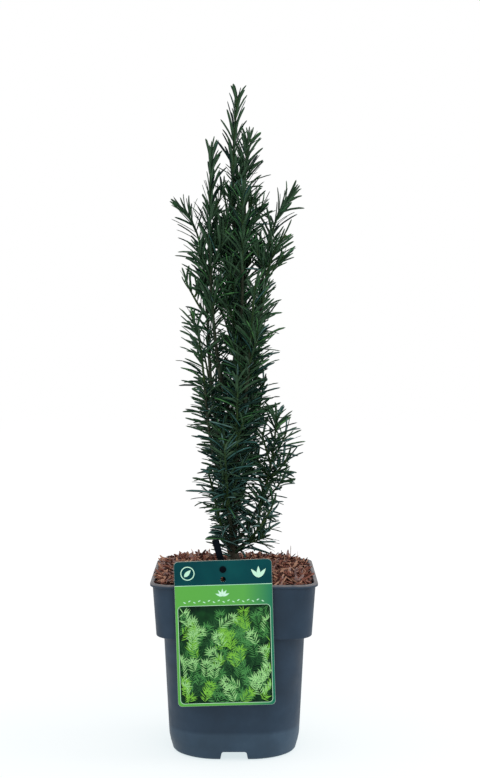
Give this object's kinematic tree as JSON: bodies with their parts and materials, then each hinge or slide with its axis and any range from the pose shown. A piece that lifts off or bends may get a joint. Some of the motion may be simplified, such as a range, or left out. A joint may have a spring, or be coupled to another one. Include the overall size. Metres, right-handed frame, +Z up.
{
  "type": "potted english yew",
  "caption": "Slender upright evergreen shrub with dark needles, rooted in a square mulched nursery pot with a blank hanging plant label.",
  "frame": {"origin": "on the ground under the middle of the pot", "axes": "+Z up along the trunk, -Y towards the side where the label hangs, +X to the right of someone who reads the label"},
  "size_m": [0.1394, 0.1424, 0.5645],
  "materials": {
    "pot": "matt dark blue-grey moulded plastic",
    "mulch": "reddish-brown shredded bark",
    "bark": "thin reddish-brown bark",
    "needles": "dark glossy green needles",
    "card": "glossy printed plastic card",
    "stake": "black moulded plastic"
  },
  "bodies": {
    "root": {"pot": "pot", "mulch": "mulch", "trunk": "bark", "bough_second_leader": "bark", "bough_left_spire": "bark", "bough_left_high": "bark", "bough_left_middle": "bark", "bough_left_low": "bark", "bough_right_high": "bark", "bough_right_fork": "bark", "bough_right_middle": "bark", "bough_right_low": "bark", "bough_right_foot": "bark", "bough_front_high": "bark", "bough_front_right": "bark", "bough_front_middle": "bark", "bough_front_low": "bark", "bough_back_high": "bark", "bough_back_middle": "bark", "bough_back_left": "bark", "bough_back_right": "bark", "bough_back_low": "bark", "foliage_leader": "needles", "foliage_second_leader": "needles", "foliage_left_spire": "needles", "foliage_left_high": "needles", "foliage_left_middle": "needles", "foliage_left_low": "needles", "foliage_right_high": "needles", "foliage_right_fork": "needles", "foliage_right_middle": "needles", "foliage_right_low": "needles", "foliage_right_foot": "needles", "foliage_front_high": "needles", "foliage_front_right": "needles", "foliage_front_middle": "needles", "foliage_front_low": "needles", "foliage_back_high": "needles", "foliage_back_middle": "needles", "foliage_back_left": "needles", "foliage_back_right": "needles", "foliage_back_low": "needles", "label_card": "card", "label_stake": "stake"}
  },
  "joints": []
}
